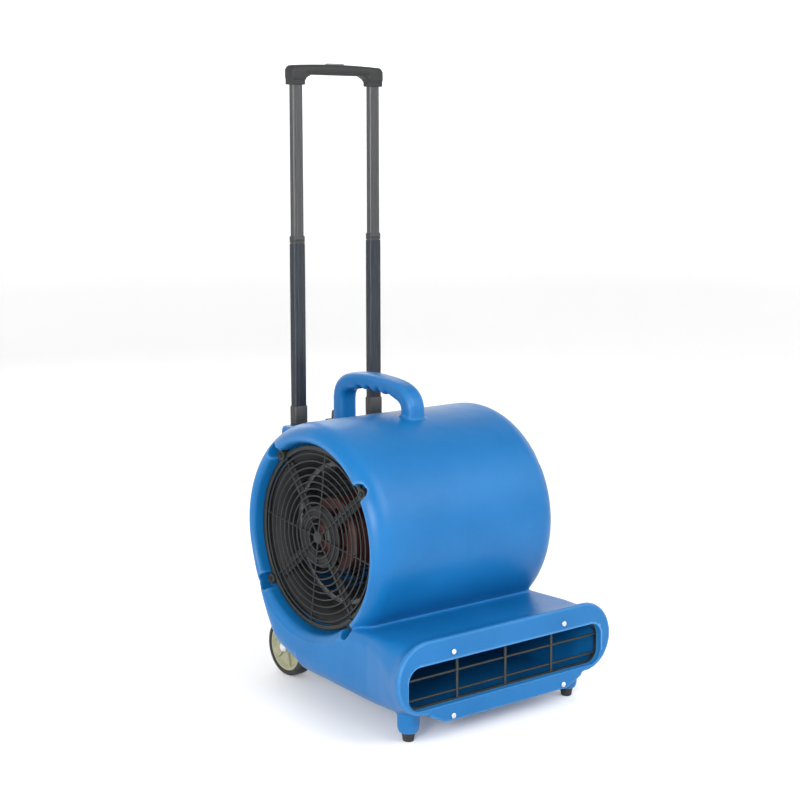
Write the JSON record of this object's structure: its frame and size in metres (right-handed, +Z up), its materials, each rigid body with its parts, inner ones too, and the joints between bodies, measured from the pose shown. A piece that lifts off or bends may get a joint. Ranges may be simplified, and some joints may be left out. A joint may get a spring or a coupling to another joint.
{
  "type": "centrifugal floor dryer",
  "caption": "Snail-housing floor dryer with side inlets, low wide outlet, carry handle, rear wheels and a two-stage pull-out handle.",
  "frame": {"origin": "on the floor, under the middle of the machine's box", "axes": "+Z up, outlet towards -Y, impeller and wheel axes along X"},
  "size_m": [0.451, 0.4791, 1.0315],
  "materials": {
    "blue_housing": "semi-matt moulded polyethylene",
    "black_plastic": "satin moulded plastic",
    "rubber": "matt rubber",
    "tyre": "solid rubber tyre",
    "zinc_steel": "zinc plated steel",
    "sheet_steel": "galvanised sheet",
    "motor_paint": "dark red paint",
    "winding": "varnished copper",
    "gunmetal": "satin dark grey coat",
    "hub_plastic": "olive grey plastic",
    "capacitor_case": "pale plastic",
    "button_plastic": "dark grey plastic"
  },
  "bodies": {
    "housing": {"housing_left": "blue_housing", "housing_right": "blue_housing", "inlet_guard_left": "black_plastic", "inlet_guard_right": "black_plastic", "outlet_guard": "black_plastic", "switch_plate": "black_plastic", "speed_switch": "black_plastic", "cord_gland": "black_plastic", "outer_bush_left": "black_plastic", "outer_bush_right": "black_plastic", "foot_left": "rubber", "foot_right": "rubber", "guard_screw_left_1": "gunmetal", "guard_screw_left_2": "gunmetal", "guard_screw_left_3": "gunmetal", "guard_screw_left_4": "gunmetal", "guard_screw_right_1": "gunmetal", "guard_screw_right_2": "gunmetal", "guard_screw_right_3": "gunmetal", "guard_screw_right_4": "gunmetal", "outlet_screw_1": "zinc_steel", "outlet_screw_2": "zinc_steel", "outlet_screw_3": "zinc_steel", "outlet_screw_4": "zinc_steel", "motor_bearing_inner": "zinc_steel", "motor_bearing_outer": "zinc_steel", "axle": "zinc_steel", "axle_cap_left": "zinc_steel", "axle_cap_right": "zinc_steel", "upper_strap": "zinc_steel", "lower_strap": "zinc_steel", "inlet_ring_left": "gunmetal", "inlet_ring_right": "gunmetal", "motor_spider": "gunmetal", "motor_can": "motor_paint", "motor_end_inner": "motor_paint", "motor_end_outer": "motor_paint", "motor_stator": "winding", "outer_tube_left": "gunmetal", "outer_tube_right": "gunmetal", "run_capacitor": "capacitor_case"},
    "impeller_set": {"impeller": "sheet_steel", "impeller_hub": "zinc_steel", "motor_shaft": "zinc_steel", "motor_rotor": "sheet_steel"},
    "wheel_left": {"tyre_left": "tyre", "wheel_hub_left": "hub_plastic"},
    "wheel_right": {"tyre_right": "tyre", "wheel_hub_right": "hub_plastic"},
    "middle_stage": {"middle_tube_left": "gunmetal", "middle_tube_right": "gunmetal", "middle_bush_left": "black_plastic", "middle_bush_right": "black_plastic"},
    "inner_stage": {"inner_tube_left": "gunmetal", "inner_tube_right": "gunmetal", "grip": "black_plastic"},
    "button": {"release_button": "button_plastic"},
    "knob": {"speed_knob": "black_plastic"}
  },
  "joints": [
    {"name": "impeller_spin", "type": "hinge", "parent": "housing", "child": "impeller_set", "pos_m": [0, 0.031, 0.275], "axis": [1, 0, 0], "continuous": true},
    {"name": "wheel_left_spin", "type": "hinge", "parent": "housing", "child": "wheel_left", "pos_m": [-0.111, 0.188, 0.05], "axis": [1, 0, 0], "continuous": true},
    {"name": "wheel_right_spin", "type": "hinge", "parent": "housing", "child": "wheel_right", "pos_m": [0.111, 0.188, 0.05], "axis": [1, 0, 0], "continuous": true},
    {"name": "middle_slide", "type": "slide", "parent": "housing", "child": "middle_stage", "axis": [0, 0, 1], "range_m": [-0.255, 0]},
    {"name": "inner_slide", "type": "slide", "parent": "middle_stage", "child": "inner_stage", "axis": [0, 0, 1], "range_m": [-0.247, 0]},
    {"name": "button_press", "type": "slide", "parent": "inner_stage", "child": "button", "axis": [0, 0, 1], "range_m": [-0.004, 0], "stiffness_N_per_m": 600, "springref_m": 0.001},
    {"name": "knob_turn", "type": "hinge", "parent": "housing", "child": "knob", "pos_m": [0, 0.203, 0.428], "axis": [0, 0, 1], "range_deg": [0, 135]}
  ]
}
